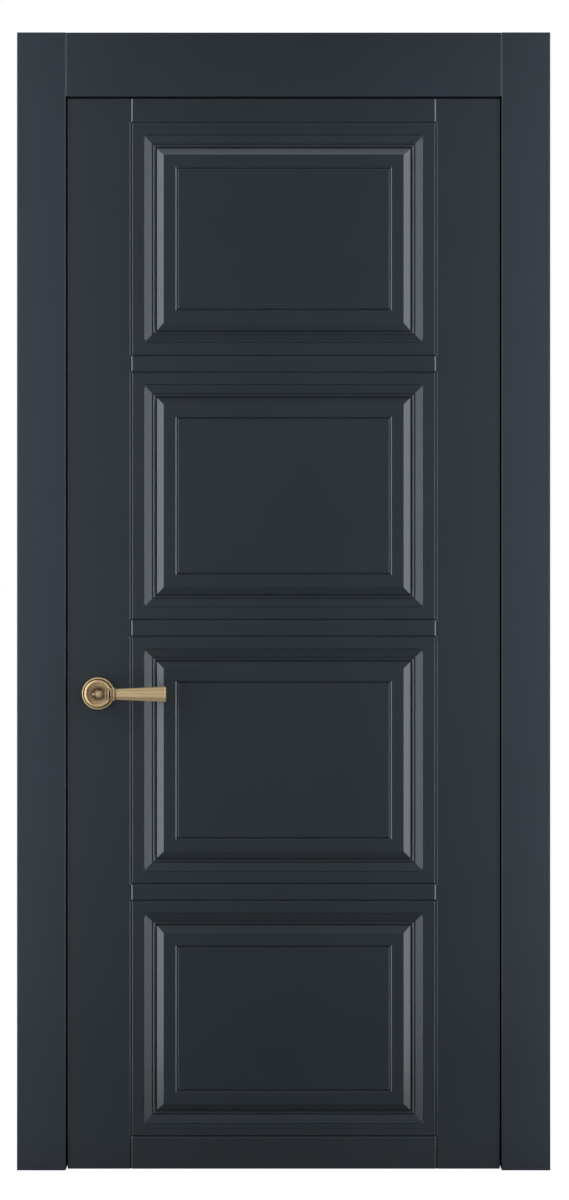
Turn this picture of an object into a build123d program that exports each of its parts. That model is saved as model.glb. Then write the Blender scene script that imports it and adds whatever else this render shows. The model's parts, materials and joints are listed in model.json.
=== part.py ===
"""Panelled interior door in its frame: concealed hinges, magnetic latch and a lever on each side.

Frame of reference: +Z up, -Y is the side that the leaf opens to, the hinges are at +X.
The origin is on the floor, in the middle of the doorway and of the leaf's thickness.
"""
import os
from math import cos, radians, sin

from build123d import *

# Leaf
leaf_width = 800.0
leaf_height = 1980.0
leaf_thickness = 40.0
leaf_gap = 3.0
floor_gap = 1.5
stile_width = 118.0
top_rail_height = 44.0
mid_rail_height = 31.0
bottom_rail_height = 60.0
panel_height_shares = (0.2417, 0.2569, 0.2569, 0.2445)
joint_bevel = 2.5
rail_end_bevel_width = 5.0
rail_end_bevel_depth = 2.9
edge_bevel = 1.0
groove_depth = 8.0
groove_width = 12.0
joint_clearance = 0.2

# Milled face of a panel, in order from its edge inwards
land_width = 23.5
chamfer_width = 15.0
chamfer_depth = 6.5
bead_step = 1.2
bead_width = 6.0
bead_quirk = 1.1
bead_slope_width = 1.5
bead_height = 0.9
shadow_width = 2.6
shadow_depth = 11.0
bevel_width = 12.8
bevel_depth = 7.5
margin_width = 22.0
vee_width = 7.0
vee_depth = 3.4

# Frame
jamb_thickness = 40.0
jamb_depth = 80.0
stop_width = 12.0
seal_room = 4.0
casing_width = 90.0
head_casing_height = 118.0
casing_thickness = 10.0
casing_proud = 6.0
casing_round = 1.5
tongue_thickness = 4.0
tongue_length = 12.0
tongue_inset = 8.0
tongue_clearance = 0.2
fixing_hole_radius = 3.25
fixing_count = 3
fixing_end_distance = 430.0
latch_fixing_rise = 24.0
fixing_setback = 18.0
corner_screw_radius = 2.5
corner_screw_length = 75.0
corner_screw_head_radius = 4.8
corner_screw_head_height = 3.0
corner_screw_spacing = 40.0

# Seal
seal_groove_width = 4.0
seal_groove_depth = 7.0
seal_stem_clearance = 0.1
seal_bulb_width = 8.0
seal_leaf_clearance = 0.3

# Concealed hinge: two crossed arms that meet at a centre pin
hinge_height_shares = (0.135, 0.865)
pivot_ahead_of_leaf = 2.0
arm_pivot_side = 8.5
arm_pivot_depth = 14.5
arm_bend_side = 10.5
arm_bend_depth = 23.5
arm_width = 6.0
arm_barrel_radius = 4.2
arm_pin_radius = 2.4
arm_pin_clearance = 0.05
arm_layer_height = 12.0
arm_layer_gap = 0.4
housing_front_depth = 8.0
housing_width = 28.0
housing_depth = 17.0
housing_wall = 1.8
housing_end_wall = 4.0
hinge_plate_height = 104.0
hinge_plate_thickness = 3.0
hinge_screw_spacing = 84.0
hinge_screw_radius = 2.0
hinge_screw_length = 28.0
screw_head_radius = 4.0
screw_head_height = 2.2
pocket_clearance = 0.2

# Latch
handle_height = 881.0
handle_backset = 57.0
latch_case_height = 104.0
latch_case_depth = 92.0
latch_case_thickness = 16.0
latch_case_wall = 1.6
faceplate_height = 150.0
faceplate_width = 22.0
faceplate_thickness = 3.0
faceplate_screw_spacing = 130.0
bolt_rise = 18.0
bolt_height = 24.0
bolt_thickness = 11.4
bolt_length = 22.0
bolt_recess = 0.3
bolt_travel = 10.0
bolt_clearance = 0.3
bolt_nose_bevel = 1.5
bolt_tail_height = 6.0
bolt_tail_thickness = 4.0
bolt_hook_length = 4.0
bolt_hook_drop = 14.0
follower_radius = 9.0
follower_clearance = 0.06
follower_arm_reach = 20.0
follower_arm_width = 5.0
follower_arm_thickness = 5.0
follower_turn_deg = 35.0
strike_height = 100.0
strike_width = 22.0
strike_thickness = 2.5
strike_screw_spacing = 80.0
strike_box_depth = 12.0
strike_box_wall = 1.5
strike_box_margin = 5.0
magnet_thickness = 4.0

# Lever furniture
spindle_size = 8.0
spindle_clearance = 0.1
spindle_reach = 26.0
rosette_radius = 30.0
rosette_rim_width = 4.6
rosette_rim_height = 6.0
rosette_ring_width = 6.2
rosette_ring_height = 13.0
rosette_dish_height = 8.0
rosette_skin = 1.4
rosette_hole_radius = 9.0
base_radius = 21.0
base_thickness = 4.0
spring_inner_radius = 10.6
spring_outer_radius = 13.0
spring_height = 2.0
rosette_bolt_radius = 2.0
rosette_bolt_head_radius = 3.6
rosette_bolt_head_height = 1.6
rosette_bolt_spacing = 34.0
lever_axis_height = 43.4
neck_radius = 8.5
neck_top_radius = 5.0
neck_clearance = 0.3
lever_tip_reach = 8.8
lever_head_reach = 33.7
collar_radius = 12.4
lever_reach = 127.1
grip_start_radius = 10.2
grip_end_radius = 14.6
grip_reeds = 8
reed_shares = (0.9, 0.975, 1.0, 0.975)
grip_seat = 1.5
grip_lip_length = 1.6
grip_lip_share = 0.94
grub_screw_radius = 2.0
grub_screw_share = 0.55

# Turned lever head: place along the head and radius, as shares of its length and its collar radius
lever_head_shares = (
    (0.0, 0.0), (0.015, 0.12), (0.05, 0.15), (0.062, 0.2), (0.12, 0.27), (0.152, 0.22), (0.19, 0.38),
    (0.25, 0.52), (0.33, 0.58), (0.42, 0.57), (0.49, 0.5), (0.515, 0.42), (0.607, 0.42), (0.607, 0.9),
    (0.65, 0.9), (0.65, 0.56), (0.7, 0.56),
    (0.7, 0.92), (0.76, 0.92), (0.76, 0.64), (0.83, 0.64), (0.83, 0.92), (0.875, 0.92), (0.875, 0.56),
    (0.925, 0.56), (0.925, 1.0), (1.0, 1.0), (1.0, 0.0),
)

# Eased top of a turned ring and hollow of a dish: place across it and height, as shares of each
eased_shares = ((0.0, 0.0), (0.16, 0.7), (0.5, 1.0), (0.84, 0.7), (1.0, 0.0))
dish_shares = ((0.2, 0.55), (0.5, 0.2), (1.0, 0.0))

# Cuts run past the faces that they open
overrun = 1.0

# Places worked out from the sizes above
leaf_front = -leaf_thickness / 2
leaf_back = leaf_thickness / 2
leaf_side = leaf_width / 2
leaf_bottom = floor_gap
leaf_top = leaf_bottom + leaf_height
stile_inner = leaf_side - stile_width
panel_width = 2 * stile_inner
rail_end = stile_inner + joint_bevel
tongue_reach = groove_depth - joint_clearance

jamb_face = leaf_side + leaf_gap
jamb_outer = jamb_face + jamb_thickness
casing_front = leaf_front - casing_proud
jamb_front = casing_front + casing_thickness
jamb_back = jamb_front + jamb_depth
jamb_middle = (jamb_front + jamb_back) / 2
stop_face = leaf_back + seal_room
stop_inner = jamb_face - stop_width
head_face = leaf_top + leaf_gap
stop_top = head_face - stop_width
jamb_top = head_face + jamb_thickness
frame_top = head_face + head_casing_height

pivot_x = leaf_side + leaf_gap / 2
pivot_y = leaf_front - pivot_ahead_of_leaf
centre_pin_depth = 2 * arm_pivot_depth
cavity_height = 3 * arm_layer_height + 4 * arm_layer_gap
housing_height = cavity_height + 2 * housing_end_wall
hinge_heights = [leaf_bottom + share * leaf_height for share in hinge_height_shares]

handle_x = handle_backset - leaf_side
bolt_z = handle_height + bolt_rise
case_front = faceplate_thickness - leaf_side
case_back = case_front + latch_case_depth

parts = {}


def block(x_range, y_range, z_range):
    """Box between two corners, given as a low and a high value on each axis."""
    spans = (x_range, y_range, z_range)
    middle = [(low + high) / 2 for low, high in spans]
    return Pos(*middle) * Box(*[high - low for low, high in spans])


def around(middle, size):
    """Low and high value of a size centred on a place."""
    return middle - size / 2, middle + size / 2


def rod(radius, start, direction, length):
    """Cylinder that starts at a point and runs along a direction."""
    place = Plane(origin=start, z_dir=direction).location
    return place * Cylinder(radius, length, align=(Align.CENTER, Align.CENTER, Align.MIN))


def countersunk_screw(start, direction, radius, length, head_radius, head_height):
    """Countersunk screw whose head is flush at the start point."""
    place = Plane(origin=start, z_dir=direction).location
    bottom = (Align.CENTER, Align.CENTER, Align.MIN)
    head = Cone(head_radius, radius, head_height, align=bottom)
    return place * (head + Cylinder(radius, length, align=bottom))


def across(solid):
    """The same solid on the other side of the doorway."""
    return mirror(solid, Plane.YZ)


def lengthwise_edges(solid, axis, sort_axis):
    """Edges along an axis, in order of their place on another axis."""
    return solid.edges().filter_by(axis).sort_by(sort_axis)


# Hinge: each place is given to the side of and behind the leaf's swing axis

def hinge_point(side, depth, height):
    """Point of a hinge; a positive side is in the jamb, a negative one in the leaf."""
    return pivot_x + side, pivot_y + depth, height


def hinge_block(side_range, depth_range, height_range):
    """Box of a hinge, placed as hinge_point does."""
    x_range = [pivot_x + side for side in side_range]
    y_range = [pivot_y + depth for depth in depth_range]
    return block(x_range, y_range, height_range)


def arm_bar(start, end, low, height):
    """Flat bar with round ends between two points of a hinge."""
    first = Vector(*hinge_point(*start, low))
    last = Vector(*hinge_point(*end, low))
    place = Plane(origin=(first + last) * 0.5, x_dir=last - first, z_dir=(0, 0, 1))
    return extrude(place * SlotCenterToCenter((last - first).length, arm_width), height)


def hinge_arm(side, layers, height):
    """Bent arm from its pivot to the centre pin; side is 1 for the jamb's arm and -1 for the leaf's."""
    pivot = (side * arm_pivot_side, arm_pivot_depth)
    bend = (side * arm_bend_side, arm_bend_depth)
    centre = (0, centre_pin_depth)
    bottom = height - cavity_height / 2 + arm_layer_gap
    barrel_length = cavity_height - 2 * arm_layer_gap
    arm = rod(arm_barrel_radius, hinge_point(*pivot, bottom), (0, 0, 1), barrel_length)
    for layer in layers:
        low = bottom + layer * (arm_layer_height + arm_layer_gap)
        arm += arm_bar(pivot, bend, low, arm_layer_height)
        arm += arm_bar(bend, centre, low, arm_layer_height)
        arm += rod(arm_barrel_radius, hinge_point(*centre, low), (0, 0, 1), arm_layer_height)
    for place in (pivot, centre):
        bore_radius = arm_pin_radius + arm_pin_clearance
        arm -= rod(bore_radius, hinge_point(*place, bottom - overrun), (0, 0, 1), cavity_height + overrun)
    return arm


def pivot_pin(side, height):
    """Pin that a housing holds at both ends."""
    start = hinge_point(side * arm_pivot_side, arm_pivot_depth, height - housing_height / 2)
    return rod(arm_pin_radius, start, (0, 0, 1), housing_height)


def centre_pin(height):
    """Pin that joins the two arms, as long as they are high."""
    length = cavity_height - 2 * arm_layer_gap
    return rod(arm_pin_radius, hinge_point(0, centre_pin_depth, height - length / 2), (0, 0, 1), length)


def hinge_screws(side, height):
    """Two countersunk screws of a housing's plate."""
    depth = housing_front_depth + housing_width / 2
    screws = []
    for screw_height in around(height, hinge_screw_spacing):
        start = hinge_point(side * leaf_gap / 2, depth, screw_height)
        screws.append(countersunk_screw(start, (side, 0, 0), hinge_screw_radius, hinge_screw_length,
                                        screw_head_radius, screw_head_height))
    return screws


def housing_outline(side, height, room, opening):
    """Outer form of a housing with its plate, grown by some room and run out past the face."""
    near = leaf_gap / 2 - opening
    depths = around(housing_front_depth + housing_width / 2, housing_width + 2 * room)
    plate_sides = sorted((side * near, side * (leaf_gap / 2 + hinge_plate_thickness)))
    shell_sides = sorted((side * near, side * (leaf_gap / 2 + housing_depth + room)))
    plate = hinge_block(plate_sides, depths, around(height, hinge_plate_height + 2 * room))
    return plate + hinge_block(shell_sides, depths, around(height, housing_height + 2 * room))


def hinge_housing(side, height):
    """Open housing that holds the pivot pin of one arm, with a plate for its screws."""
    near = leaf_gap / 2 - overrun
    far = leaf_gap / 2 + housing_depth - housing_wall
    depths = around(housing_front_depth + housing_width / 2, housing_width - 2 * housing_wall)
    cavity = hinge_block(sorted((side * near, side * far)), depths, around(height, cavity_height))
    start = hinge_point(side * arm_pivot_side, arm_pivot_depth, height - housing_height)
    pin_bore = rod(arm_pin_radius + arm_pin_clearance, start, (0, 0, 1), 2 * housing_height)
    housing = housing_outline(side, height, 0, 0) - cavity - pin_bore
    for screw in hinge_screws(side, height):
        housing -= screw
    return housing


def hinge_pockets(side):
    """Room for the housings and their screws."""
    pockets = [housing_outline(side, height, pocket_clearance, overrun) for height in hinge_heights]
    for height in hinge_heights:
        pockets += hinge_screws(side, height)
    return pockets


# Frame

def tongue_groove(front):
    """Groove for a casing's tongue, in the front or the back of a side jamb."""
    near, far = (jamb_front, jamb_front + tongue_length) if front else (jamb_back, jamb_back - tongue_length)
    outwards = -overrun if front else overrun
    x_range = (jamb_outer - tongue_inset - tongue_thickness, jamb_outer - tongue_inset)
    return block(x_range, sorted((near + outwards, far)), (-overrun, jamb_top + overrun))


def corner_screws():
    """Screws that run through the side jambs into the ends of the head jamb."""
    screws = []
    for side in (1, -1):
        for y in around(jamb_middle, corner_screw_spacing):
            start = (side * jamb_outer, y, head_face + jamb_thickness / 2)
            screws.append(countersunk_screw(start, (-side, 0, 0), corner_screw_radius, corner_screw_length,
                                            corner_screw_head_radius, corner_screw_head_height))
    return screws


def side_jamb(fixing_rise):
    """Jamb with casing grooves and wall fixing holes, on the hinge side."""
    jamb = block((jamb_face, jamb_outer), (jamb_front, jamb_back), (0, jamb_top))
    jamb -= tongue_groove(True)
    jamb -= tongue_groove(False)
    fixing_span = jamb_top - 2 * fixing_end_distance
    for index in range(fixing_count):
        z = fixing_end_distance + fixing_rise + index * fixing_span / (fixing_count - 1)
        start = (jamb_face - overrun, jamb_front + fixing_setback, z)
        jamb -= rod(fixing_hole_radius, start, (1, 0, 0), jamb_thickness + 2 * overrun)
    for screw in corner_screws():
        jamb -= screw
    return jamb


def side_stop():
    """Planted stop with its seal groove, on the hinge side."""
    stop = block((stop_inner, jamb_face), (stop_face, jamb_back), (0, stop_top))
    return stop - block(around(jamb_face - stop_width / 2, seal_groove_width),
                        (stop_face - overrun, stop_face + seal_groove_depth), (-overrun, stop_top + overrun))


def head_stop():
    """Planted stop under the head, over the side stops."""
    stop = block((-jamb_face, jamb_face), (stop_face, jamb_back), (stop_top, head_face))
    return stop - block((-jamb_face - overrun, jamb_face + overrun),
                        (stop_face - overrun, stop_face + seal_groove_depth),
                        around(head_face - stop_width / 2, seal_groove_width))


def head_jamb():
    """Head between the side jambs."""
    head = block((-jamb_face, jamb_face), (jamb_front, jamb_back), (head_face, jamb_top))
    z_range = (jamb_top - tongue_inset - tongue_thickness, jamb_top - tongue_inset)
    x_range = (-jamb_face - overrun, jamb_face + overrun)
    head -= block(x_range, (jamb_front - overrun, jamb_front + tongue_length), z_range)
    head -= block(x_range, (jamb_back - tongue_length, jamb_back + overrun), z_range)
    for screw in corner_screws():
        head -= screw
    return head


def side_casing():
    """Flat casing with eased front edges and a tongue for the jamb, on the hinge side."""
    board = block((jamb_face, jamb_face + casing_width), (casing_front, jamb_front), (0, frame_top))
    board = fillet(board.edges().filter_by(Axis.Z).group_by(Axis.Y)[0], casing_round)
    tongue_middle = jamb_outer - tongue_inset - tongue_thickness / 2
    return board + block(around(tongue_middle, tongue_thickness - 2 * tongue_clearance),
                         (jamb_front, jamb_front + tongue_length - tongue_clearance), (0, jamb_top))


def head_casing():
    """Deeper casing that stands between the side casings."""
    board = block((-jamb_face, jamb_face), (casing_front, jamb_front), (head_face, frame_top))
    board = fillet(board.faces().sort_by(Axis.Y)[0].edges(), casing_round)
    tongue_middle = jamb_top - tongue_inset - tongue_thickness / 2
    return board + block((-jamb_face, jamb_face),
                         (jamb_front, jamb_front + tongue_length - tongue_clearance),
                         around(tongue_middle, tongue_thickness - 2 * tongue_clearance))


def to_back(casing):
    """The same casing on the back of the frame."""
    return mirror(casing, Plane(origin=(0, jamb_middle, 0), z_dir=(0, 1, 0)))


def seal_profile(middle):
    """Section of a seal: a stem in the groove and a soft bulb in front of the stop."""
    half = seal_bulb_width / 2
    crown = leaf_back + seal_leaf_clearance
    bulb = make_face([
        ThreePointArc((middle - half, stop_face), (middle, crown), (middle + half, stop_face)),
        Line((middle + half, stop_face), (middle - half, stop_face)),
    ])
    stem_depth = seal_groove_depth - seal_stem_clearance
    stem = Pos(middle, stop_face + stem_depth / 2) * Rectangle(
        seal_groove_width - 2 * seal_stem_clearance, stem_depth)
    return bulb + stem


def make_frame():
    """Jambs, stops, casings and seals."""
    hinge_jamb = side_jamb(0)
    for pocket in hinge_pockets(1):
        hinge_jamb -= pocket
    latch_jamb = across(side_jamb(latch_fixing_rise)) - strike_pocket()
    for screw in strike_screws():
        latch_jamb -= screw
    parts["hinge_jamb"] = hinge_jamb
    parts["latch_jamb"] = latch_jamb
    parts["head_jamb"] = head_jamb()
    parts["corner_screws"] = corner_screws()
    stop = side_stop()
    parts["hinge_stop"] = stop
    parts["latch_stop"] = across(stop)
    parts["head_stop"] = head_stop()
    side, head = side_casing(), head_casing()
    parts["front_hinge_casing"] = side
    parts["front_latch_casing"] = across(side)
    parts["front_head_casing"] = head
    parts["back_hinge_casing"] = to_back(side)
    parts["back_latch_casing"] = across(to_back(side))
    parts["back_head_casing"] = to_back(head)
    seal = extrude(seal_profile(jamb_face - stop_width / 2), stop_top)
    upright = Plane(origin=(jamb_face, 0, 0), x_dir=(0, 0, 1), z_dir=(-1, 0, 0))
    parts["hinge_seal"] = seal
    parts["latch_seal"] = across(seal)
    parts["head_seal"] = extrude(upright * seal_profile(head_face - stop_width / 2), 2 * jamb_face)


# Leaf

def face_slab(size, low, high):
    """Slab centred on a face, between two levels; the face is at zero and its board below."""
    return Pos(0, 0, (low + high) / 2) * Box(*size, high - low)


def frustum(low_size, low, high_size, high):
    """Four-sided frustum between two levels."""
    return loft([Pos(0, 0, low) * Rectangle(*low_size), Pos(0, 0, high) * Rectangle(*high_size)])


def milled_face(width, height):
    """What a cutter takes from one face of a panel: chamfer, bead, shadow gap, bevel and vee line.

    The moat's chamfer keeps sharp corners at its foot and round ones at its top, as a cone cutter
    leaves it, while the raised field's bevel is mitred.
    """
    def inset(distance, other=None):
        return width - 2 * distance, height - 2 * (distance if other is None else other)

    foot = land_width + chamfer_width
    shadow = foot + bead_width
    field_foot = shadow + shadow_width
    crown = field_foot + bevel_width
    vee_edge = crown + margin_width
    vee_middle = vee_edge + vee_width / 2

    chamfer_run = chamfer_width * (chamfer_depth + overrun) / chamfer_depth
    bead_top = -chamfer_depth - bead_step
    bead_foot = bead_top - bead_height
    moat = face_slab(inset(foot), bead_foot, overrun)
    moat += frustum(inset(foot), -chamfer_depth, inset(foot - chamfer_run, foot), overrun)
    moat += frustum(inset(foot), -chamfer_depth, inset(foot, foot - chamfer_run), overrun)
    for corner in GridLocations(*inset(foot), 2, 2):
        cone = Cone(0, chamfer_run, chamfer_depth + overrun)
        moat += corner * Pos(0, 0, (overrun - chamfer_depth) / 2) * cone
    bead_outer = foot + bead_quirk
    bead = frustum(inset(bead_outer), bead_foot, inset(bead_outer + bead_slope_width), bead_top)
    bead -= frustum(inset(shadow), bead_foot, inset(shadow - bead_slope_width), bead_top)
    moat = moat - bead + face_slab(inset(shadow), -shadow_depth, overrun)

    bevel_run = bevel_width * (bevel_depth + overrun) / bevel_depth
    field = face_slab(inset(field_foot), -shadow_depth - overrun, -bevel_depth)
    field += frustum(inset(field_foot), -bevel_depth, inset(field_foot + bevel_run), 2 * overrun)

    vee_run = vee_width / 2 * (vee_depth + overrun) / vee_depth
    vee = frustum(inset(vee_middle), -vee_depth, inset(vee_middle - vee_run), overrun)
    vee -= frustum(inset(vee_middle), -vee_depth, inset(vee_middle + vee_run), overrun)
    return moat - field, vee


def panel(low, high):
    """Board milled on both faces, bevelled at its joints, with a tongue all round."""
    board = block((-stile_inner, stile_inner), (leaf_front, leaf_back), (low, high))
    board = chamfer(board.faces().filter_by(Axis.Y).edges(), joint_bevel)
    board += block((-stile_inner - tongue_reach, stile_inner + tongue_reach),
                   around(0, groove_width - 2 * joint_clearance), (low - tongue_reach, high + tongue_reach))
    middle = (low + high) / 2
    for side in (-1, 1):
        face = Plane(origin=(0, side * leaf_thickness / 2, middle), x_dir=(-side, 0, 0), z_dir=(0, side, 0))
        for cut in milled_face(panel_width, high - low):
            board -= face.location * cut
    return board


def stile(rail_spans):
    """Plain upright with a bevelled and grooved inner edge that the rails are let into."""
    board = block((stile_inner, leaf_side), (leaf_front, leaf_back), (leaf_bottom, leaf_top))
    board = chamfer(lengthwise_edges(board, Axis.Z, Axis.X)[:2], joint_bevel)
    board = chamfer(lengthwise_edges(board, Axis.Z, Axis.X)[-2:], edge_bevel)
    for low, high in rail_spans:
        board -= block((stile_inner - overrun, rail_end), (leaf_front - overrun, leaf_back + overrun),
                       (low, high))
    return board - block((stile_inner - overrun, stile_inner + groove_depth), around(0, groove_width),
                         (leaf_bottom - overrun, leaf_top + overrun))


def rail_end_wedge(low, high):
    """What the bevel takes from the front of a rail's end, on the hinge side."""
    outline = Polyline((rail_end, leaf_front), (rail_end - rail_end_bevel_width, leaf_front),
                       (rail_end, leaf_front + rail_end_bevel_depth), close=True)
    return extrude(Pos(0, 0, low) * make_face(outline), high - low)


def rail(low, high, panel_below, panel_above):
    """Cross rail with bevelled ends, tongues in the stiles and grooves for the panels beside it."""
    board = block((-rail_end, rail_end), (leaf_front, leaf_back), (low, high))
    along = lengthwise_edges(board, Axis.X, Axis.Z)
    bevelled = along[:2] if panel_below else []
    bevelled += along[-2:] if panel_above else []
    board = chamfer(bevelled, joint_bevel)
    for wedge in (rail_end_wedge(low, high), across(rail_end_wedge(low, high))):
        board -= wedge
        board -= mirror(wedge, Plane.XZ)
    reach = stile_inner + tongue_reach
    board += block((-reach, reach), around(0, groove_width - 2 * joint_clearance), (low, high))
    across_rail = (-reach - overrun, reach + overrun)
    if panel_below:
        board -= block(across_rail, around(0, groove_width), (low - overrun, low + groove_depth))
    if panel_above:
        board -= block(across_rail, around(0, groove_width), (high - groove_depth, high + overrun))
    return board


def make_leaf():
    """Stiles, rails and panels from the top down."""
    rail_heights = (top_rail_height, mid_rail_height, mid_rail_height, mid_rail_height, bottom_rail_height)
    rail_names = ("top_rail", "upper_mid_rail", "centre_mid_rail", "lower_mid_rail", "bottom_rail")
    panel_names = ("top_panel", "upper_panel", "lower_panel", "bottom_panel")
    panels_height = leaf_height - sum(rail_heights)
    level = leaf_top
    rail_spans = []
    for index, height in enumerate(rail_heights):
        parts[rail_names[index]] = rail(level - height, level, index < len(panel_names), index > 0)
        rail_spans.append((level - height, level))
        level -= height
        if index < len(panel_names):
            panel_height = panels_height * panel_height_shares[index]
            parts[panel_names[index]] = panel(level - panel_height, level)
            level -= panel_height

    upright = stile(rail_spans)
    hinge_stile = upright
    for pocket in hinge_pockets(-1):
        hinge_stile -= pocket
    latch_stile = across(upright)
    for pocket in latch_pockets():
        latch_stile -= pocket
    parts["hinge_stile"] = hinge_stile
    parts["latch_stile"] = latch_stile


# Hinges

def make_hinges():
    """Housings, arms, pins and screws of the concealed hinges."""
    names = ("lower", "upper")
    for name, height in zip(names, hinge_heights):
        parts[f"{name}_frame_housing"] = hinge_housing(1, height)
        parts[f"{name}_leaf_housing"] = hinge_housing(-1, height)
        parts[f"{name}_frame_arm"] = hinge_arm(1, (1,), height)
        parts[f"{name}_leaf_arm"] = hinge_arm(-1, (0, 2), height)
    parts["frame_pivot_pins"] = [pivot_pin(1, height) for height in hinge_heights]
    parts["leaf_pivot_pins"] = [pivot_pin(-1, height) for height in hinge_heights]
    parts["arm_centre_pins"] = [centre_pin(height) for height in hinge_heights]
    for side, name in ((1, "frame_hinge_screws"), (-1, "leaf_hinge_screws")):
        parts[name] = [screw for height in hinge_heights for screw in hinge_screws(side, height)]


# Latch and strike

def through_leaf(radius, x, z):
    """Round hole through the leaf's thickness."""
    return rod(radius, (x, leaf_front - overrun, z), (0, 1, 0), leaf_thickness + 2 * overrun)


def rosette_bolt_places():
    """Places of the bolts that clamp the two rosette bases together."""
    return around(handle_x, rosette_bolt_spacing)


def faceplate_screws():
    """Screws of the latch faceplate."""
    return [countersunk_screw((-leaf_side, 0, z), (1, 0, 0), hinge_screw_radius, hinge_screw_length,
                              screw_head_radius, screw_head_height)
            for z in around(handle_height, faceplate_screw_spacing)]


def strike_screws():
    """Screws of the strike plate."""
    return [countersunk_screw((-jamb_face, 0, z), (-1, 0, 0), hinge_screw_radius, hinge_screw_length,
                              screw_head_radius, screw_head_height)
            for z in around(bolt_z, strike_screw_spacing)]


def latch_pockets():
    """What the latch, the spindle and the rosette bolts take from the latch stile."""
    case_room = block((case_front - overrun, case_back + pocket_clearance),
                      around(0, latch_case_thickness + 2 * pocket_clearance),
                      around(handle_height, latch_case_height + 2 * pocket_clearance))
    plate_room = block((-leaf_side - overrun, case_front),
                       around(0, faceplate_width + 2 * pocket_clearance),
                       around(handle_height, faceplate_height + 2 * pocket_clearance))
    holes = [through_leaf(rosette_bolt_radius + pocket_clearance, x, handle_height)
             for x in rosette_bolt_places()]
    spindle_hole = through_leaf(follower_radius, handle_x, handle_height)
    return [case_room, plate_room, spindle_hole, *holes, *faceplate_screws()]


def latch_case():
    """Pressed case, open towards the faceplate."""
    case = block((case_front, case_back), around(0, latch_case_thickness),
                 around(handle_height, latch_case_height))
    case -= block((case_front - overrun, case_back - latch_case_wall),
                  around(0, latch_case_thickness - 2 * latch_case_wall),
                  around(handle_height, latch_case_height - 2 * latch_case_wall))
    case -= through_leaf(follower_radius + follower_clearance, handle_x, handle_height)
    for x in rosette_bolt_places():
        case -= through_leaf(rosette_bolt_radius + pocket_clearance, x, handle_height)
    return case


def bolt_window(x_range):
    """Opening that the bolt passes with room to slide."""
    return block(x_range, around(0, bolt_thickness + 2 * bolt_clearance),
                 around(bolt_z, bolt_height + 2 * bolt_clearance))


def latch_faceplate():
    """Plate in the leaf's edge that the bolt comes out of."""
    plate = block((-leaf_side, case_front), around(0, faceplate_width),
                  around(handle_height, faceplate_height))
    plate -= bolt_window((-leaf_side - overrun, case_front + overrun))
    for screw in faceplate_screws():
        plate -= screw
    return plate


def latch_bolt():
    """Magnetic bolt with a hooked tail that reaches past the follower's arm."""
    nose_front = bolt_recess - leaf_side
    nose_back = nose_front + bolt_length
    nose = block((nose_front, nose_back), around(0, bolt_thickness), around(bolt_z, bolt_height))
    nose = chamfer(nose.faces().sort_by(Axis.X)[0].edges(), bolt_nose_bevel)
    turn = radians(follower_turn_deg)
    arm_swing = follower_arm_reach * sin(turn) + follower_arm_width / 2 * cos(turn)
    hook_near = handle_x + arm_swing + bolt_travel + 2 * bolt_clearance
    hook_far = hook_near + bolt_hook_length
    tail_low = handle_height + follower_arm_reach + 2 * bolt_clearance
    tail_high = tail_low + bolt_tail_height
    tail_width = around(0, bolt_tail_thickness)
    tail = block((nose_back, hook_far), tail_width, (tail_low, tail_high))
    return nose + tail + block((hook_near, hook_far), tail_width, (tail_low - bolt_hook_drop, tail_high))


def square_hole(y_range):
    """Square hole for the spindle."""
    size = spindle_size + 2 * spindle_clearance
    return block(around(handle_x, size), y_range, around(handle_height, size))


def latch_follower():
    """Hub that the spindle turns, with the arm that draws the bolt."""
    half = latch_case_thickness / 2
    hub = rod(follower_radius, (handle_x, -half, handle_height), (0, 1, 0), latch_case_thickness)
    hub += block(around(handle_x, follower_arm_width), around(0, follower_arm_thickness),
                 (handle_height, handle_height + follower_arm_reach))
    return hub - square_hole((-half - overrun, half + overrun))


def strike_outline(room, opening):
    """Outer form of the strike plate and its box, grown by some room and run out past the face."""
    face = opening - jamb_face
    box_front = -jamb_face - strike_thickness
    plate = block((box_front, face), around(0, strike_width + 2 * room),
                  around(bolt_z, strike_height + 2 * room))
    box_margin = 2 * (strike_box_margin + room)
    return plate, block((box_front - strike_box_depth - room, box_front),
                        around(0, bolt_thickness + box_margin), around(bolt_z, bolt_height + box_margin))


def strike_pocket():
    """Room for the strike in the latch jamb."""
    plate, box = strike_outline(pocket_clearance, overrun)
    return plate + box


def make_latch():
    """Latch in the leaf and strike in the jamb."""
    parts["latch_case"] = latch_case()
    parts["latch_faceplate"] = latch_faceplate()
    parts["faceplate_screws"] = faceplate_screws()
    parts["latch_bolt"] = latch_bolt()
    parts["latch_follower"] = latch_follower()
    plate, box = strike_outline(0, 0)
    box_front = -jamb_face - strike_thickness
    plate -= bolt_window((box_front - overrun, overrun - jamb_face))
    for screw in strike_screws():
        plate -= screw
    cavity_floor = box_front - strike_box_depth + strike_box_wall
    cavity_margin = 2 * (strike_box_margin - strike_box_wall)
    cavity_y = around(0, bolt_thickness + cavity_margin)
    cavity_z = around(bolt_z, bolt_height + cavity_margin)
    parts["strike_plate"] = plate
    parts["strike_box"] = box - block((cavity_floor, box_front + overrun), cavity_y, cavity_z)
    parts["strike_magnet"] = block((cavity_floor, cavity_floor + magnet_thickness), cavity_y, cavity_z)
    parts["strike_screws"] = strike_screws()


# Lever furniture, made on the front face: z is out of the leaf and x along the lever

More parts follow.
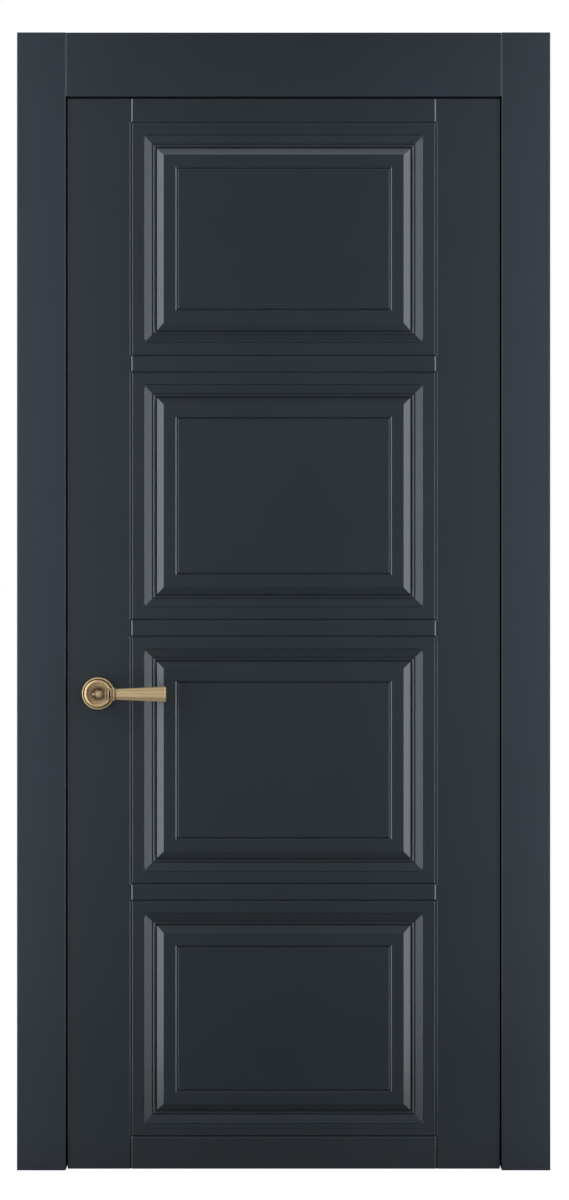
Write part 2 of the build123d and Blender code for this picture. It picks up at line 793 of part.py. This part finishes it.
def rosette():
    """Turned cover: an eased rim, a raised ring and a dish round the lever's neck."""
    rim_inner = rosette_radius - rosette_rim_width
    ring_inner = rim_inner - rosette_ring_width
    rim_side = rosette_rim_height / 2
    ring_side = (rosette_rim_height + rosette_ring_height) / 2

    def eased(outer, inner, low, high):
        return [(outer + across_share * (inner - outer), 0, low + share * (high - low))
                for across_share, share in eased_shares]

    dish = [(ring_inner + across_share * (rosette_hole_radius - ring_inner), 0,
             rosette_dish_height + share * (ring_side - rosette_dish_height))
            for across_share, share in dish_shares]
    outline = [(rosette_hole_radius, 0, 0), (rosette_radius, 0, 0),
               *eased(rosette_radius, rim_inner, rim_side, rosette_rim_height),
               *eased(rim_inner, ring_inner, ring_side, rosette_ring_height), *dish]
    room = rosette_dish_height - rosette_skin
    cavity = Pos(0, 0, room / 2) * Cylinder(base_radius + pocket_clearance, room)
    return revolve(make_face(Polyline(*outline, close=True)), Axis.Z) - cavity


def rosette_base():
    """Plate under the cover that the bolts clamp to the leaf."""
    base = Pos(0, 0, base_thickness / 2) * Cylinder(base_radius, base_thickness)
    base -= Pos(0, 0, base_thickness / 2) * Cylinder(rosette_hole_radius, base_thickness + 2 * overrun)
    for x in around(0, rosette_bolt_spacing):
        base -= Pos(x, 0, base_thickness / 2) * Cylinder(rosette_bolt_radius + pocket_clearance,
                                                         base_thickness + 2 * overrun)
    return base


def reeded_outline(radius):
    """Round outline of convex reeds with a crease between each two, one crease towards the front."""
    corners = []
    for reed in range(grip_reeds):
        for step, share in enumerate(reed_shares):
            angle = radians(360 * (reed + step / len(reed_shares)) / grip_reeds)
            corners.append((radius * share * cos(angle), radius * share * sin(angle)))
    return make_face(Polyline(*corners, close=True))


def lever():
    """Cast lever: a neck from the rosette, a turned head and a reeded grip that widens to its end."""
    neck_length = lever_axis_height - neck_clearance
    neck = Pos(0, 0, neck_clearance + neck_length / 2) * Cone(neck_radius, neck_top_radius, neck_length)
    head_length = lever_tip_reach + lever_head_reach
    outline = [(along * head_length - lever_tip_reach, 0, lever_axis_height + share * collar_radius)
               for along, share in lever_head_shares]
    head = revolve(make_face(Polyline(*outline, close=True)), Axis((0, 0, lever_axis_height), (1, 0, 0)))

    def section(x, radius):
        place = Plane(origin=(x, 0, lever_axis_height), x_dir=(0, 0, 1), z_dir=(1, 0, 0))
        return place * reeded_outline(radius)

    grip = loft([section(lever_head_reach - grip_seat, grip_start_radius),
                 section(lever_reach - grip_lip_length, grip_end_radius),
                 section(lever_reach, grip_end_radius * grip_lip_share)], ruled=True)
    hole_size = spindle_size + 2 * spindle_clearance
    hole = block(around(0, hole_size), around(0, hole_size), (0, spindle_reach + spindle_clearance))
    return neck + head + grip - hole - grub_screw(overrun)


def grub_screw(past_neck):
    """Screw from below that holds the neck to the spindle, flush with the neck or run past it."""
    height = grub_screw_share * spindle_reach
    neck_taper = (neck_radius - neck_top_radius) / (lever_axis_height - neck_clearance)
    length = neck_radius - neck_taper * (height - neck_clearance) - spindle_size / 2
    return rod(grub_screw_radius, (0, -spindle_size / 2, height), (0, -1, 0), length + past_neck)


def make_furniture():
    """Rosettes, levers and what joins them through the leaf."""
    front = Plane(origin=(handle_x, leaf_front, handle_height), x_dir=(1, 0, 0), z_dir=(0, -1, 0)).location
    spring_ring = Circle(spring_outer_radius) - Circle(spring_inner_radius)
    spring = extrude(Pos(0, 0, base_thickness) * spring_ring, spring_height)
    pieces = {"rosette_base": rosette_base(), "rosette": rosette(), "return_spring": spring,
              "lever": lever()}
    for name, piece in pieces.items():
        parts[f"front_{name}"] = front * piece
        parts[f"back_{name}"] = mirror(front * piece, Plane.XZ)
    screw = front * grub_screw(0)
    parts["lever_grub_screws"] = [screw, mirror(screw, Plane.XZ)]
    parts["spindle"] = block(around(handle_x, spindle_size),
                             (leaf_front - spindle_reach, leaf_back + spindle_reach),
                             around(handle_height, spindle_size))
    bolts = []
    for x in rosette_bolt_places():
        clamped = leaf_thickness + 2 * base_thickness
        bolt = rod(rosette_bolt_radius, (x, -clamped / 2, handle_height), (0, 1, 0), clamped)
        for side in (-1, 1):
            bolt += rod(rosette_bolt_head_radius, (x, side * clamped / 2, handle_height), (0, side, 0),
                        rosette_bolt_head_height)
        bolts.append(bolt)
    parts["rosette_bolts"] = bolts


def main():
    """Build every piece and write each to its own file."""
    make_frame()
    make_leaf()
    make_hinges()
    make_latch()
    make_furniture()
    os.makedirs("parts", exist_ok=True)
    for name, piece in parts.items():
        solids = piece if isinstance(piece, list) else [piece]
        export_step(Compound(children=[solid for item in solids for solid in item.solids()]),
                    f"parts/{name}.step")


main()
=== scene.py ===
import json
import math

import bmesh
import bpy
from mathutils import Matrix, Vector


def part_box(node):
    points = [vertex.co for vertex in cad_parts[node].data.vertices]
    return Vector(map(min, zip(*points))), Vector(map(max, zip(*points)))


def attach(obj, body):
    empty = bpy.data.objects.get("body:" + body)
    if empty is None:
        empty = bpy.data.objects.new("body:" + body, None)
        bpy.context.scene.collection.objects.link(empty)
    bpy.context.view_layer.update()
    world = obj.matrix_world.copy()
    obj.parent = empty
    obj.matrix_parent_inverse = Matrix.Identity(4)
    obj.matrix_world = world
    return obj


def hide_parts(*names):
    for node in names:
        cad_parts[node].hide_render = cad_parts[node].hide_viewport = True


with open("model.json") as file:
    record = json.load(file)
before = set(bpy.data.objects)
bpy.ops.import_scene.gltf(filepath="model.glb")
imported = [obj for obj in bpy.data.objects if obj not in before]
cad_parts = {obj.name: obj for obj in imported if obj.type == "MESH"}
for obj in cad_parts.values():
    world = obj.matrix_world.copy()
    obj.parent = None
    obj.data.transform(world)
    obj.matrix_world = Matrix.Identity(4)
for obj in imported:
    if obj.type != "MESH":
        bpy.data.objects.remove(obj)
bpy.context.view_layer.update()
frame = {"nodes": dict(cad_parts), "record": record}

nodes = frame["nodes"]
print("frame loaded:", len(nodes), "nodes")


def toLinear(hexCode):
    channels = [int(hexCode[i:i + 2], 16) / 255 for i in (1, 3, 5)]
    linear = [c / 12.92 if c <= 0.04045 else ((c + 0.055) / 1.055) ** 2.4 for c in channels]
    return (*linear, 1.0)


def perMetre(millimetres):
    return 1000.0 / millimetres  # pattern scale that gives features of this size


def addNode(tree, kind, settings, links=None):
    node = tree.nodes.new(kind)
    for name, value in settings.items():
        if isinstance(name, str) and hasattr(node, name):
            setattr(node, name, value)
        else:
            node.inputs[name].default_value = value
    for name, socket in (links or {}).items():
        tree.links.new(socket, node.inputs[name])
    return node


def newMaterial(name):
    material = bpy.data.materials.new(name)
    material.use_nodes = True
    tree = material.node_tree
    return material, tree, tree.nodes["Principled BSDF"]


# Satin enamel, sprayed on fibreboard: an even dark film with a faint orange peel, soft side glow
enamel = {
    "leafColour": "#25282a",
    "casingColour": "#272a2e",
    "specular": 0.5,
    "roughness": (0.3, 0.36),
    "peelMm": 1.8,  # orange peel is under a millimetre, drawn coarser so that it shows
    "cloudMm": 160,
    "cloudDepth": 0.08,
    "peelBump": 0.05,
    "peelHeight": 0.0002,  # metres
}


def satinEnamel(name, colour):
    material, tree, shader = newMaterial(name)
    place = addNode(tree, "ShaderNodeTexCoord", {}).outputs["Object"]
    cloud = addNode(tree, "ShaderNodeTexNoise", {"Scale": perMetre(enamel["cloudMm"]), "Detail": 2.0},
                    {"Vector": place})
    peel = addNode(tree, "ShaderNodeTexNoise", {"Scale": perMetre(enamel["peelMm"]), "Detail": 2.0},
                   {"Vector": place})
    base = toLinear(colour)
    deep = [c * (1 - enamel["cloudDepth"]) for c in base[:3]] + [1.0]
    light = [c * (1 + enamel["cloudDepth"]) for c in base[:3]] + [1.0]
    tint = addNode(tree, "ShaderNodeMix", {"data_type": "RGBA", 6: deep, 7: light},
                   {0: cloud.outputs["Fac"]})
    low, high = enamel["roughness"]
    gloss = addNode(tree, "ShaderNodeMapRange", {"To Min": low, "To Max": high},
                    {"Value": peel.outputs["Fac"]})
    bump = addNode(tree, "ShaderNodeBump", {"Strength": enamel["peelBump"],
                                            "Distance": enamel["peelHeight"]},
                   {"Height": peel.outputs["Fac"]})
    shader.inputs["Specular IOR Level"].default_value = enamel["specular"]
    tree.links.new(tint.outputs[2], shader.inputs["Base Color"])
    tree.links.new(gloss.outputs["Result"], shader.inputs["Roughness"])
    tree.links.new(bump.outputs["Normal"], shader.inputs["Normal"])
    return material


# Antique brass, cast and turned, darkened in a bath and brushed back: brown oxide in the hollows, a pale
# honey metal on the crests, too matt to mirror anything sharply, with painted shade in the fine creases and
# the dish
brass = {
    "patinaAndShade": "#40270a",
    "rubbed": "#c2a478",
    "specular": 0.3,
    "metal": (0.15, 0.5),  # oxide is no metal, the brushed crests are
    "roughness": (0.6, 0.44),
    "brushMm": 0.9,  # brush lines are finer, drawn coarser so that they show
    "brushStretch": 14,
    "grainWear": 0.82,  # of the wear is left between the brush lines
    "hollowMm": 12.0,
    "hollowRange": (0.4, 0.9),  # open sky at which the oxide starts to go, and at which it is gone
    # the fine creases between the reeds and the collars are darkened further: painted shade
    "creaseMm": 2.5,
    "creaseRange": (0.65, 0.95),
    "creaseShadeFactor": 0.55,
    "dishShadeMm": (10.0, 20.0),  # from the spindle, the middle of the rosette is darkened: painted shade of the lever's head in the dish
    "dishShadeFactor": 0.14,
    "raisedMm": (31.0, 36.0),  # from the middle of the leaf, what stands out of the dish is rubbed again
    "raisedWear": 0.55,
    "bump": 0.12,
    "brushHeight": 0.0001,  # metres
}


def antiqueBrass():
    material, tree, shader = newMaterial("antiqueBrass")
    place = addNode(tree, "ShaderNodeTexCoord", {}).outputs["Object"]
    along = addNode(tree, "ShaderNodeMapping", {"Scale": (1 / brass["brushStretch"], 1, 1)},
                    {"Vector": place})
    brush = addNode(tree, "ShaderNodeTexNoise", {"Scale": perMetre(brass["brushMm"]), "Detail": 3.0},
                    {"Vector": along.outputs["Vector"]})
    hollow, crease = [addNode(tree, "ShaderNodeAmbientOcclusion",
                              {"samples": 8, "Distance": brass[key] / 1000})
                      for key in ("hollowMm", "creaseMm")]
    shut, clear = brass["hollowRange"]
    openness = addNode(tree, "ShaderNodeMapRange", {"From Min": shut, "From Max": clear},
                       {"Value": hollow.outputs["AO"]})
    # darker in the fine creases between reeds and collars: painted shade
    shut, clear = brass["creaseRange"]
    creaseShade = addNode(tree, "ShaderNodeMapRange", {"From Min": shut, "From Max": clear,
                                                 "To Min": brass["creaseShadeFactor"], "To Max": 1.0},
                    {"Value": crease.outputs["AO"]})
    low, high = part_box("spindle")
    fromSpindle = addNode(tree, "ShaderNodeVectorMath", {"operation": "SUBTRACT", 1: (low + high) / 2},
                          {0: place})
    flat = addNode(tree, "ShaderNodeVectorMath", {"operation": "MULTIPLY", 1: (1, 0, 1)},
                   {0: fromSpindle.outputs["Vector"]})
    reach = addNode(tree, "ShaderNodeVectorMath", {"operation": "LENGTH"}, {0: flat.outputs["Vector"]})
    near, far = [distance / 1000 for distance in brass["dishShadeMm"]]
    # darker near the spindle: painted shade in the dish
    dishShade = addNode(tree, "ShaderNodeMapRange", {"interpolation_type": "SMOOTHSTEP", "From Min": near,
                                                 "From Max": far, "To Min": brass["dishShadeFactor"]},
                    {"Value": reach.outputs["Value"]})
    axes = addNode(tree, "ShaderNodeSeparateXYZ", {}, {"Vector": fromSpindle.outputs["Vector"]})
    height = addNode(tree, "ShaderNodeMath", {"operation": "ABSOLUTE"}, {0: axes.outputs["Y"]})
    sunk, proud = [distance / 1000 for distance in brass["raisedMm"]]
    raised = addNode(tree, "ShaderNodeMapRange", {"From Min": sunk, "From Max": proud,
                                                  "To Max": brass["raisedWear"]},
                     {"Value": height.outputs[0]})
    # painted shade in the dish, lifted again where the lever stands out of it and is rubbed
    dishShadeAndRubbing = addNode(tree, "ShaderNodeMath", {"operation": "MAXIMUM"},
                      {0: dishShade.outputs["Result"], 1: raised.outputs["Result"]})
    grain = addNode(tree, "ShaderNodeMapRange", {"From Min": 0.3, "From Max": 0.7,
                                                 "To Min": brass["grainWear"], "To Max": 1.0},
                    {"Value": brush.outputs["Fac"]})  # most of this noise lies in 0.3 to 0.7
    # wear of the metal, times the painted shade in the creases and the dish
    wearAndShade = openness.outputs["Result"]
    for share in (creaseShade, dishShadeAndRubbing, grain):
        wornAndShaded = addNode(tree, "ShaderNodeMath", {"operation": "MULTIPLY"}, {0: wearAndShade, 1: share.outputs[0]})
        wearAndShade = wornAndShaded.outputs[0]
    # the dark end is the oxide in the hollows and the painted shade in the creases and the dish
    tint = addNode(tree, "ShaderNodeMix", {"data_type": "RGBA", 6: toLinear(brass["patinaAndShade"]),
                                           7: toLinear(brass["rubbed"])}, {0: wearAndShade})
    metal, gloss = [addNode(tree, "ShaderNodeMapRange", {"To Min": brass[key][0], "To Max": brass[key][1]},
                            {"Value": wearAndShade}) for key in ("metal", "roughness")]
    bump = addNode(tree, "ShaderNodeBump", {"Strength": brass["bump"], "Distance": brass["brushHeight"]},
                   {"Height": brush.outputs["Fac"]})
    shader.inputs["Specular IOR Level"].default_value = brass["specular"]
    tree.links.new(tint.outputs[2], shader.inputs["Base Color"])
    tree.links.new(metal.outputs["Result"], shader.inputs["Metallic"])
    tree.links.new(gloss.outputs["Result"], shader.inputs["Roughness"])
    tree.links.new(bump.outputs["Normal"], shader.inputs["Normal"])
    return material


# One recipe for the small fittings: a tint broken by fine noise, with roughness and bump from the same noise
fittingGrainHeight = 0.0001  # metres
fittings = {
    "sealRubber": {  # extruded EPDM: matt black with a faint bloom
        "slot": "seal_rubber", "tints": ("#0b0c0d", "#16181a"), "metal": 0.0, "roughness": (0.62, 0.8),
        "grainMm": 1.2, "bump": 0.1},
    "mouldedAbs": {  # moulded ABS: black with a spark eroded grain
        "slot": "black_plastic", "tints": ("#121314", "#1d1f20"), "metal": 0.0, "roughness": (0.42, 0.55),
        "grainMm": 0.8, "bump": 0.15},
    "satinNickel": {  # satin nickel on die cast zinc: soft grey with a fine brushed haze
        "slot": "satin_steel", "tints": ("#8d8b86", "#aaa8a3"), "metal": 1.0, "roughness": (0.3, 0.42),
        "grainMm": 0.7, "bump": 0.06},
    "zincPlate": {  # zinc plated steel: brighter, slightly blue and patchy
        "slot": "steel", "tints": ("#8e9498", "#b3b8bb"), "metal": 1.0, "roughness": (0.25, 0.4),
        "grainMm": 2.5, "bump": 0.05},
}


def fittingMaterial(name, look):
    material, tree, shader = newMaterial(name)
    place = addNode(tree, "ShaderNodeTexCoord", {}).outputs["Object"]
    grain = addNode(tree, "ShaderNodeTexNoise", {"Scale": perMetre(look["grainMm"]), "Detail": 3.0},
                    {"Vector": place})
    dark, light = look["tints"]
    tint = addNode(tree, "ShaderNodeMix", {"data_type": "RGBA", 6: toLinear(dark), 7: toLinear(light)},
                   {0: grain.outputs["Fac"]})
    low, high = look["roughness"]
    gloss = addNode(tree, "ShaderNodeMapRange", {"To Min": low, "To Max": high},
                    {"Value": grain.outputs["Fac"]})
    bump = addNode(tree, "ShaderNodeBump", {"Strength": look["bump"], "Distance": fittingGrainHeight},
                   {"Height": grain.outputs["Fac"]})
    shader.inputs["Metallic"].default_value = look["metal"]
    tree.links.new(tint.outputs[2], shader.inputs["Base Color"])
    tree.links.new(gloss.outputs["Result"], shader.inputs["Roughness"])
    tree.links.new(bump.outputs["Normal"], shader.inputs["Normal"])
    return material


finishes = {
    "leaf_paint": satinEnamel("satinEnamelLeaf", enamel["leafColour"]),
    "casing_paint": satinEnamel("satinEnamelCasing", enamel["casingColour"]),
    "frame_paint": satinEnamel("satinEnamelFrame", enamel["casingColour"]),
    "antique_brass": antiqueBrass(),
}
for name, look in fittings.items():
    finishes[look["slot"]] = fittingMaterial(name, look)
for part in frame["record"]["subparts"]:
    solid = nodes[part["node"]].data
    solid.materials.clear()
    solid.materials.append(finishes[part["material_slot"]])

# Arrises: sprayed boards are sanded before the last coat, so sharp edges are fine rounds that take light
arris = {
    "radius": 0.0006,  # metres
    "steps": 2,
    "weldWithin": 0.00001,  # metres
    "flatWithin": 0.5,  # degrees, coplanar triangles become whole faces
    "sharperThan": 18,  # degrees between two faces
    "boards": ("stile", "rail"),
}
for name, board in nodes.items():
    if name.split("_")[-1] in arris["boards"]:
        weld = board.modifiers.new("weld", "WELD")
        weld.merge_threshold = arris["weldWithin"]
        flatten = board.modifiers.new("flatten", "DECIMATE")
        flatten.decimate_type = "DISSOLVE"
        flatten.angle_limit = math.radians(arris["flatWithin"])
        rounding = board.modifiers.new("arris", "BEVEL")
        rounding.width, rounding.segments = arris["radius"], arris["steps"]
        rounding.limit_method, rounding.angle_limit = "ANGLE", math.radians(arris["sharperThan"])
        rounding.use_clamp_overlap = False
print("arrises rounded")

# Panels: the same boards as the solids, with the fine quirks that the cutters leave beside each moulding
panelBoard = {
    "tongue": 7.8,  # millimetres of the solid that hide in the grooves round it
    "cornerSteps": 11,
    "chamferSlope": 0.44,  # the land's round corners stand over chamfers that meet in a mitre
    "edgeRadius": 0.3,  # millimetres
    "weldWithin": 0.000001,  # metres, joins the points that a sharp corner repeats
    "profile": (  # millimetres from the visible edge, below the face, and round of the corner
        (0.0, 2.5, 0.0), (2.5, 0.0, 0.0),  # joint bevel
        (22.6, 0.0, 9.0), (23.1, 1.9, 8.5), (24.2, 0.55, 7.4),  # land with a quirk at its edge
        (38.2, 6.7, 0.0), (38.3, 8.8, 0.0), (39.6, 8.8, 0.0),  # chamfer and the bead's quirk
        (40.6, 7.7, 0.0), (41.9, 7.2, 0.0), (43.3, 7.5, 0.0), (44.4, 8.4, 0.0),  # bead
        (44.5, 11.0, 0.0), (46.9, 11.0, 0.0), (47.0, 8.2, 0.0),  # shadow gap
        (59.9, 0.0, 0.0), (81.8, 0.0, 0.0),  # bevel and margin of the field
        (84.0, 1.3, 0.0), (84.1, 3.4, 0.0), (86.0, 3.4, 0.0), (86.1, 0.5, 0.0),  # sunk line
        (87.1, 0.0, 0.0),  # flat middle
    ),
}


def roundedRing(low, high, inset, face, depth, corner, outwards):
    points = []
    fall = panelBoard["chamferSlope"] if depth else 0.0
    corners = ((high.x, high.z), (low.x, high.z), (low.x, low.z), (high.x, low.z))
    for quarter, (x, z) in enumerate(corners):
        inwardX, inwardZ = (-1 if x == high.x else 1), (-1 if z == high.z else 1)
        for step in range(panelBoard["cornerSteps"]):
            turn = math.pi / 2 * (quarter + step / (panelBoard["cornerSteps"] - 1))
            ringX = x + inwardX * (inset + corner) + corner * math.cos(turn)
            ringZ = z + inwardZ * (inset + corner) + corner * math.sin(turn)
            sunk = depth + fall * (min(abs(ringX - x), abs(ringZ - z)) - inset)
            points.append((ringX, face - outwards * sunk, ringZ))
    return points


def milledPanel(name, node):
    low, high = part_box(node)
    rings, shape = {}, bmesh.new()
    for outwards, face in ((-1, low.y), (1, high.y)):
        rings[outwards] = []
        for inset, depth, corner in panelBoard["profile"]:
            inset += panelBoard["tongue"]
            ring = roundedRing(low, high, inset / 1000, face, depth / 1000, corner / 1000, outwards)
            rings[outwards].append([shape.verts.new(point) for point in ring])
        shape.faces.new(rings[outwards][-1])
    strips = [(rings[-1][0], rings[1][0])]  # the board's edge, then both faces
    for face in rings.values():
        strips += zip(face, face[1:])
    for outer, inner in strips:
        for i in range(len(outer)):
            shape.faces.new((outer[i - 1], outer[i], inner[i], inner[i - 1]))
    bmesh.ops.remove_doubles(shape, verts=shape.verts, dist=panelBoard["weldWithin"])
    bmesh.ops.recalc_face_normals(shape, faces=shape.faces)
    mesh = bpy.data.meshes.new(name)
    shape.to_mesh(mesh)
    shape.free()
    mesh.materials.append(finishes["leaf_paint"])
    board = bpy.data.objects.new(name, mesh)
    bpy.context.scene.collection.objects.link(board)
    rounding = board.modifiers.new("arris", "BEVEL")
    rounding.width, rounding.segments = panelBoard["edgeRadius"] / 1000, 1
    rounding.limit_method, rounding.angle_limit = "ANGLE", math.radians(arris["sharperThan"])
    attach(board, "leaf")
    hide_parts(node)


for level in ("top", "upper", "lower", "bottom"):
    milledPanel(level + "Panel", level + "_panel")
print("panels milled")

# Rope rim: a twisted cord pattern rolled into the edge of each rosette, in the same brass
rope = {
    "strands": 64,
    "radiusShare": 0.92,  # of the rosette's radius
    "rise": 0.0046,  # metres over the leaf's face
    "thickness": 0.0021,
    "twistDepth": 0.12,
    "stepsPerStrand": 6,
    "stepsAround": 12,
}


def ropeRim(name, rosette, leafFace, outwards):
    low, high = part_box(rosette)
    middle, radius = (low + high) / 2, (high.x - low.x) / 2 * rope["radiusShare"]
    ringSteps, tubeSteps = rope["strands"] * rope["stepsPerStrand"], rope["stepsAround"]
    points = []
    for i in range(ringSteps):
        turn = math.tau * i / ringSteps
        for j in range(tubeSteps):
            roll = math.tau * j / tubeSteps
            strand = 1 + rope["twistDepth"] * math.cos(rope["strands"] * turn + 2 * roll)
            reach = radius + rope["thickness"] * strand * math.cos(roll)
            rise = rope["rise"] + rope["thickness"] * strand * math.sin(roll)
            points.append((middle.x + reach * math.cos(turn), leafFace + outwards * rise,
                           middle.z + reach * math.sin(turn)))
    faces = []
    for i in range(ringSteps):
        for j in range(tubeSteps):
            ring, nextRing, nextRoll = i * tubeSteps, (i + 1) % ringSteps * tubeSteps, (j + 1) % tubeSteps
            faces.append((ring + j, ring + nextRoll, nextRing + nextRoll, nextRing + j)[::-outwards])
    mesh = bpy.data.meshes.new(name)
    mesh.from_pydata(points, [], faces)
    mesh.shade_smooth()
    mesh.materials.append(finishes["antique_brass"])
    rim = bpy.data.objects.new(name, mesh)
    bpy.context.scene.collection.objects.link(rim)
    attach(rim, "leaf")


leafLow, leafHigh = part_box("latch_stile")
ropeRim("frontRopeRim", "front_rosette", leafLow.y, -1)
ropeRim("backRopeRim", "back_rosette", leafHigh.y, 1)
print("rope rims laid")

# Studio: two tall soft boxes that the moulded sides mirror, two behind, a gridded strip over the head,
# dark flags round the camera that keep the flat faces deep, a pale floor that fades to white
studio = {
    "boxPlace": (1.24, -0.83, 1.33),
    "boxTarget": (0.0, 0.0, 1.33),
    "boxSize": (0.9, 3.05),
    "boxLevel": 5.4,
    "boxColour": "#e9f4ff",
    "backReach": 0.3,  # metres further off than in front
    "backLevel": 4.0,
    "stripPlace": (0.0, -0.16, 2.2),
    "stripTarget": (0.0, -0.02, 1.89),
    "stripSize": (0.9, 0.1),
    "stripLevel": 0.14,
    "stripSpread": 26,  # degrees, the grid keeps its light on the top panel
    "ambient": 0.12,
    "flagColour": "#1c1d1f",
    "flagRoughness": 0.95,
    "flagWall": -5.6,
    "flagHalfWidth": 5.2,
    "flagRoof": 5.5,
    "flagDrop": -1.2,
    "roofReach": -0.9,
    "floorColour": "#6a6a69",
    "floorRoughness": 0.9,
    "floorHalfWidth": 1.7,
    "floorFront": -0.34,
    "floorBack": 1.7,
    "floorGlow": 0.94,
    "floorMirrorShare": 0.03,
    "floorFade": 0.2,  # metres inside its edge over which the floor fades to white
}


def softBox(name, place, target, size, level, colour, spread=180):
    lamp = bpy.data.lights.new(name, "AREA")
    lamp.shape = "RECTANGLE"
    lamp.size, lamp.size_y = size
    lamp.energy = level * math.pi * size[0] * size[1]  # watts that give this radiance over the whole box
    lamp.color = toLinear(colour)[:3]
    lamp.spread = math.radians(spread)
    box = bpy.data.objects.new(name, lamp)
    box.location = place
    box.rotation_euler = (Vector(target) - Vector(place)).to_track_quat("-Z", "Y").to_euler()
    box.visible_camera = False
    bpy.context.scene.collection.objects.link(box)


x, y, z = studio["boxPlace"]
for side, name in ((-1, "left"), (1, "right")):
    softBox(name + "SoftBox", (side * x, y, z), studio["boxTarget"], studio["boxSize"], studio["boxLevel"],
            studio["boxColour"])
    softBox(name + "BackBox", (side * x, studio["backReach"] - y, z), studio["boxTarget"], studio["boxSize"],
            studio["backLevel"], studio["boxColour"])
softBox("headStrip", studio["stripPlace"], studio["stripTarget"], studio["stripSize"],
        studio["stripLevel"], studio["boxColour"], studio["stripSpread"])


def whereSeen(tree, mirrorShare):
    rays = addNode(tree, "ShaderNodeLightPath", {})
    mirrored = addNode(tree, "ShaderNodeMath", {"operation": "MAXIMUM"},
                       {0: rays.outputs["Is Glossy Ray"], 1: rays.outputs["Is Transmission Ray"]})
    shared = addNode(tree, "ShaderNodeMath", {"operation": "MULTIPLY", 1: mirrorShare},
                     {0: mirrored.outputs[0]})
    return addNode(tree, "ShaderNodeMath", {"operation": "MAXIMUM"},
                   {0: rays.outputs["Is Camera Ray"], 1: shared.outputs[0]}).outputs[0]


white = (1.0, 1.0, 1.0, 1.0)
world = bpy.data.worlds.new("studioWorld")
bpy.context.scene.world = world
world.use_nodes = True
worldTree = world.node_tree
dim = [studio["ambient"]] * 3 + [1.0]
sky = addNode(worldTree, "ShaderNodeMix", {"data_type": "RGBA", 6: dim, 7: white},
              {0: whereSeen(worldTree, 1.0)})
worldTree.links.new(sky.outputs[2], worldTree.nodes["Background"].inputs["Color"])


def stageSheet(name, corners, faces):
    mesh = bpy.data.meshes.new(name)
    mesh.from_pydata(corners, [], faces)
    sheet = bpy.data.objects.new(name, mesh)
    bpy.context.scene.collection.objects.link(sheet)
    return sheet


side, front, back = studio["floorHalfWidth"], studio["floorFront"], studio["floorBack"]
floor = stageSheet("floor", [(-side, front, 0), (side, front, 0), (side, back, 0), (-side, back, 0)],
                   [(0, 1, 2, 3)])
floorPaint, floorTree, floorShader = newMaterial("paleFloor")
floorShader.inputs["Base Color"].default_value = toLinear(studio["floorColour"])
floorShader.inputs["Roughness"].default_value = studio["floorRoughness"]
floorShader.inputs["Specular IOR Level"].default_value = 0.0
floorShader.inputs["Emission Color"].default_value = white
place = addNode(floorTree, "ShaderNodeTexCoord", {}).outputs["Object"]
apart = addNode(floorTree, "ShaderNodeSeparateXYZ", {}, {0: place})
sideways = addNode(floorTree, "ShaderNodeMath", {"operation": "ABSOLUTE"}, {0: apart.outputs["X"]})
edges = [addNode(floorTree, "ShaderNodeMapRange", {"From Min": edge - inwards, "From Max": edge},
                 {"Value": along})
         for along, edge, inwards in ((sideways.outputs[0], side, studio["floorFade"]),
                                      (apart.outputs["Y"], back, studio["floorFade"]),
                                      (apart.outputs["Y"], front, -studio["floorFade"]))]
edge = addNode(floorTree, "ShaderNodeMath", {"operation": "MAXIMUM"},
               {0: edges[0].outputs["Result"], 1: edges[1].outputs["Result"]})
edge = addNode(floorTree, "ShaderNodeMath", {"operation": "MAXIMUM"},
               {0: edge.outputs[0], 1: edges[2].outputs["Result"]})
fade = addNode(floorTree, "ShaderNodeMapRange", {"To Min": studio["floorGlow"], "To Max": 1.0},
               {"Value": edge.outputs[0]})
glow = addNode(floorTree, "ShaderNodeMath", {"operation": "MULTIPLY"},
               {0: fade.outputs["Result"], 1: whereSeen(floorTree, studio["floorMirrorShare"])})
floorTree.links.new(glow.outputs[0], floorShader.inputs["Emission Strength"])
floor.data.materials.append(floorPaint)

wall, span, roof = studio["flagWall"], studio["flagHalfWidth"], studio["flagRoof"]
rows = [(front, studio["flagDrop"]), (wall, studio["flagDrop"]), (wall, roof), (studio["roofReach"], roof)]
flags = stageSheet("darkFlags", [(x, y, z) for y, z in rows for x in (-span, span)],
                   [(i, i + 1, i + 3, i + 2) for i in (0, 2, 4)])
flags.visible_camera = False
flagCloth, flagTree, flagShader = newMaterial("blackVelvet")
flagShader.inputs["Base Color"].default_value = toLinear(studio["flagColour"])
flagShader.inputs["Roughness"].default_value = studio["flagRoughness"]
flagShader.inputs["Specular IOR Level"].default_value = 0.0
flags.data.materials.append(flagCloth)
print("studio lit")

# Camera: straight in front at mid height, as far off as the gaps' sides show
view = {
    "photoSize": (569, 1200),
    "casingSpanPx": (16.8, 550.5),
    "bottomPx": 1170.4,
    "distance": 4.5,
    "sensor": 36.0,
}
casingLow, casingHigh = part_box("front_latch_casing")[0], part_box("front_hinge_casing")[1]
metrePerPx = (casingHigh.x - casingLow.x) / (view["casingSpanPx"][1] - view["casingSpanPx"][0])
photoWidth, photoHeight = view["photoSize"]
camera = bpy.data.cameras.new("photoCamera")
camera.sensor_width = view["sensor"]
camera.lens = view["sensor"] * view["distance"] / (photoHeight * metrePerPx)  # sensor spans the long side
cameraObject = bpy.data.objects.new("photoCamera", camera)
cameraObject.location = (casingLow.x + (photoWidth / 2 - view["casingSpanPx"][0]) * metrePerPx,
                         casingLow.y - view["distance"],
                         (view["bottomPx"] - photoHeight / 2) * metrePerPx)
cameraObject.rotation_euler = (math.pi / 2, 0, 0)
bpy.context.scene.collection.objects.link(cameraObject)
bpy.context.scene.camera = cameraObject
bpy.context.scene.view_settings.view_transform = "Standard"
print("camera placed at", [round(value, 3) for value in cameraObject.location])
